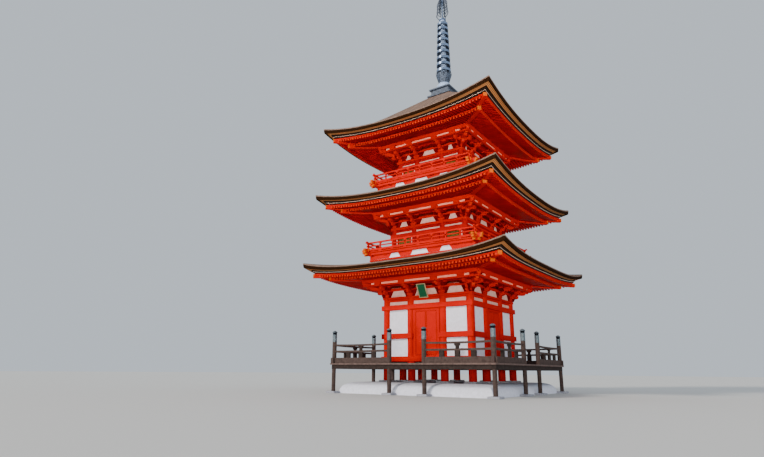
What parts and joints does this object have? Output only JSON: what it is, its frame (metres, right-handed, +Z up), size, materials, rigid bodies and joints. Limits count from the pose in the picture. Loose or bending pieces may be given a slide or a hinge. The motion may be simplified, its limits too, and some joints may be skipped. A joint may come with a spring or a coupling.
{
  "type": "pagoda",
  "caption": "Timber pagoda with tiered bark roofs, stepped brackets, balconies, a railed veranda on a white mound, swinging board doors and a ringed bronze spire.",
  "frame": {"origin": "centre of the square plan at ground level, under the mound", "axes": "+Z up, the front face with the name board looks along -Y, +X is the right face"},
  "size_m": [6.656, 6.656, 15],
  "materials": {
    "white_plaster": "white lime plaster, matt",
    "vermilion_timber": "vermilion painted timber, satin",
    "cypress_bark": "weathered bark roofing, matt",
    "weathered_timber": "bare grey-brown weathered timber",
    "dark_bronze": "dark blue-grey bronze",
    "green_board": "green painted board with a pale frame",
    "floor_timber": "plain floor boards"
  },
  "bodies": {
    "pagoda": {"first_rafters": "vermilion_timber", "first_roof": "cypress_bark", "front_door_frame": "vermilion_timber", "front_wall_panel_1": "white_plaster", "front_wall_panel_2": "white_plaster", "ground_brackets": "vermilion_timber", "ground_floor": "floor_timber", "ground_frame": "vermilion_timber", "ground_wall_band": "white_plaster", "left_door_frame": "vermilion_timber", "left_doors": "vermilion_timber", "left_wall_panel_1": "white_plaster", "left_wall_panel_2": "white_plaster", "plaque": "green_board", "plaster_mound": "white_plaster", "rear_door_frame": "vermilion_timber", "rear_doors": "vermilion_timber", "rear_wall_panel_1": "white_plaster", "rear_wall_panel_2": "white_plaster", "right_door_frame": "vermilion_timber", "right_wall_panel_1": "white_plaster", "right_wall_panel_2": "white_plaster", "second_balcony": "vermilion_timber", "second_brackets": "vermilion_timber", "second_frame": "vermilion_timber", "second_rafters": "vermilion_timber", "second_roof": "cypress_bark", "second_waist_frame": "vermilion_timber", "second_walls": "white_plaster", "spire_base": "dark_bronze", "spire_bowl": "dark_bronze", "spire_flame": "dark_bronze", "spire_jewels": "dark_bronze", "spire_rings": "dark_bronze", "third_balcony": "vermilion_timber", "third_brackets": "vermilion_timber", "third_frame": "vermilion_timber", "third_rafters": "vermilion_timber", "third_roof": "cypress_bark", "third_waist_frame": "vermilion_timber", "third_walls": "white_plaster", "veranda_floor": "weathered_timber", "veranda_frame": "weathered_timber", "veranda_railing_front_left": "weathered_timber", "veranda_railing_front_right": "weathered_timber", "veranda_railing_rear_left": "weathered_timber", "veranda_railing_rear_right": "weathered_timber"},
    "front_door_left": {"front_door_left": "vermilion_timber"},
    "front_door_right": {"front_door_right": "vermilion_timber"},
    "right_door_front": {"right_door_front": "vermilion_timber"},
    "right_door_rear": {"right_door_rear": "vermilion_timber"}
  },
  "joints": [
    {"name": "front_door_left_hinge", "type": "hinge", "parent": "pagoda", "child": "front_door_left", "pos_m": [-0.358, -1.487, 1.09], "axis": [0, 0, -1], "range_deg": [0, 100]},
    {"name": "front_door_right_hinge", "type": "hinge", "parent": "pagoda", "child": "front_door_right", "pos_m": [0.358, -1.487, 1.09], "axis": [0, 0, 1], "range_deg": [0, 100]},
    {"name": "right_door_front_hinge", "type": "hinge", "parent": "pagoda", "child": "right_door_front", "pos_m": [1.487, -0.358, 1.09], "axis": [0, 0, -1], "range_deg": [0, 100]},
    {"name": "right_door_rear_hinge", "type": "hinge", "parent": "pagoda", "child": "right_door_rear", "pos_m": [1.487, 0.358, 1.09], "axis": [0, 0, 1], "range_deg": [0, 100]}
  ]
}
